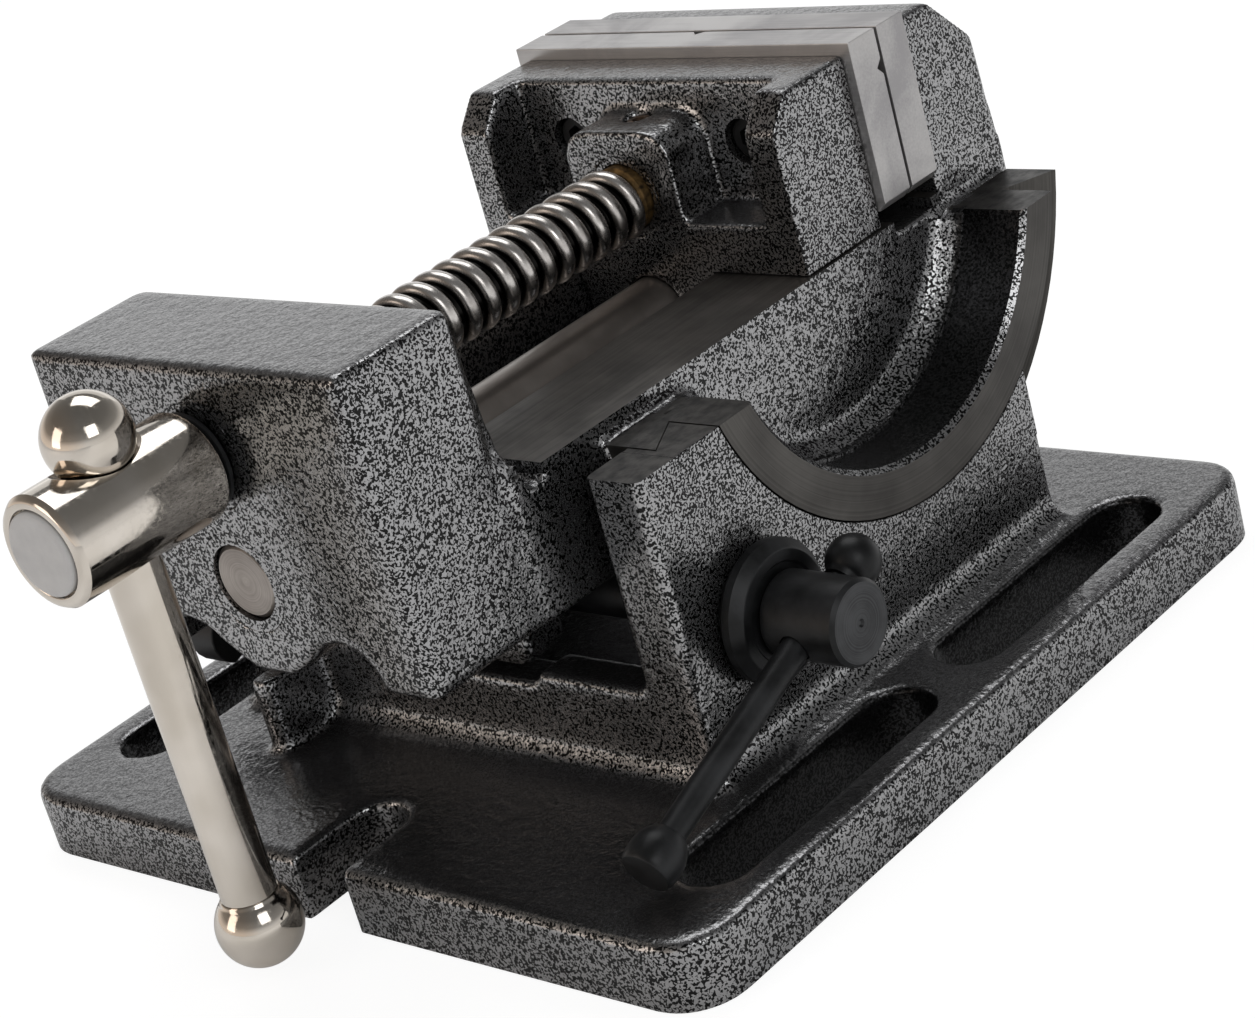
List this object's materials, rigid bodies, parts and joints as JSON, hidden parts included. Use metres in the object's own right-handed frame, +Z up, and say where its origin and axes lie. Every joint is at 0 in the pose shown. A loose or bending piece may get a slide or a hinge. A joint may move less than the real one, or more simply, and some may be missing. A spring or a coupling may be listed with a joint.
{
  "type": "tilting drill press vise",
  "caption": "Tilting machine vise with flat jaws, cranked screw and a cradle base that clamps to a slotted machine table.",
  "frame": {"origin": "centre of the base's underside, where the vise stands on the machine table", "axes": "+Z up, +Y from the screw's handle towards the fixed jaw, +X towards the side of the lock lever"},
  "size_m": [0.2056, 0.246, 0.1307],
  "materials": {
    "base_casting": "grey hammered enamel over cast iron",
    "vise_body": "grey hammered enamel over cast iron, ways and rims machined bare",
    "guide_rod": "turned steel",
    "fixed_jaw_plate": "ground hardened steel",
    "fixed_jaw_screw_left": "black oxide steel",
    "fixed_jaw_screw_right": "black oxide steel",
    "moving_jaw": "grey hammered enamel over cast iron",
    "moving_jaw_plate": "ground hardened steel",
    "moving_jaw_screw_left": "black oxide steel",
    "moving_jaw_screw_right": "black oxide steel",
    "screw_bush": "bronze, oiled",
    "screw_set_screw": "yellow passivated steel",
    "lead_screw": "turned steel, oiled",
    "screw_collar": "black oxide steel",
    "screw_hub": "bright nickel plate",
    "hub_cap": "satin grey plastic",
    "tommy_bar": "bright nickel plate",
    "tommy_ball_upper": "bright nickel plate",
    "tommy_ball_lower": "bright nickel plate",
    "lock_bolt": "black oxide steel",
    "lock_washer": "black oxide steel",
    "lock_nut": "black oxide steel",
    "lock_bar": "black oxide steel",
    "lock_knob_upper": "black oxide steel",
    "lock_knob_lower": "black oxide steel"
  },
  "bodies": {
    "base": {"base_casting": "base_casting", "lock_washer": "lock_washer", "lock_nut": "lock_nut"},
    "body": {"vise_body": "vise_body", "guide_rod": "guide_rod", "fixed_jaw_plate": "fixed_jaw_plate", "fixed_jaw_screw_left": "fixed_jaw_screw_left", "fixed_jaw_screw_right": "fixed_jaw_screw_right"},
    "jaw": {"moving_jaw": "moving_jaw", "moving_jaw_plate": "moving_jaw_plate", "moving_jaw_screw_left": "moving_jaw_screw_left", "moving_jaw_screw_right": "moving_jaw_screw_right", "screw_bush": "screw_bush", "screw_set_screw": "screw_set_screw"},
    "screw": {"lead_screw": "lead_screw", "screw_collar": "screw_collar", "screw_hub": "screw_hub", "hub_cap": "hub_cap"},
    "handle": {"tommy_bar": "tommy_bar", "tommy_ball_upper": "tommy_ball_upper", "tommy_ball_lower": "tommy_ball_lower"},
    "lock": {"lock_bolt": "lock_bolt"},
    "lock_lever": {"lock_bar": "lock_bar", "lock_knob_upper": "lock_knob_upper", "lock_knob_lower": "lock_knob_lower"}
  },
  "joints": [
    {"name": "body_tilt", "type": "hinge", "parent": "base", "child": "body", "pos_m": [0, 0.033, 0.1025], "axis": [-1, 0, 0], "range_deg": [0, 90]},
    {"name": "jaw_slide", "type": "slide", "parent": "body", "child": "jaw", "axis": [0, -1, 0], "range_m": [-0.0007, 0.092]},
    {"name": "screw_spin", "type": "hinge", "parent": "jaw", "child": "screw", "pos_m": [0, 0, 0.1055], "axis": [0, -1, 0], "range_deg": [-43, 5520]},
    {"name": "handle_slide", "type": "slide", "parent": "screw", "child": "handle", "axis": [0, 0, 1], "range_m": [0, 0.071]},
    {"name": "lock_spin", "type": "hinge", "parent": "base", "child": "lock", "pos_m": [0, -0.029, 0.0442], "axis": [-1, 0, 0], "range_deg": [0, 150]},
    {"name": "lock_lever_slide", "type": "slide", "parent": "lock", "child": "lock_lever", "axis": [0, 0.9455, 0.3256], "range_m": [0, 0.005]}
  ],
  "couplings": [
    {"joint": "screw_spin", "follows": "jaw_slide", "rad_per_m": 1047.2}
  ]
}
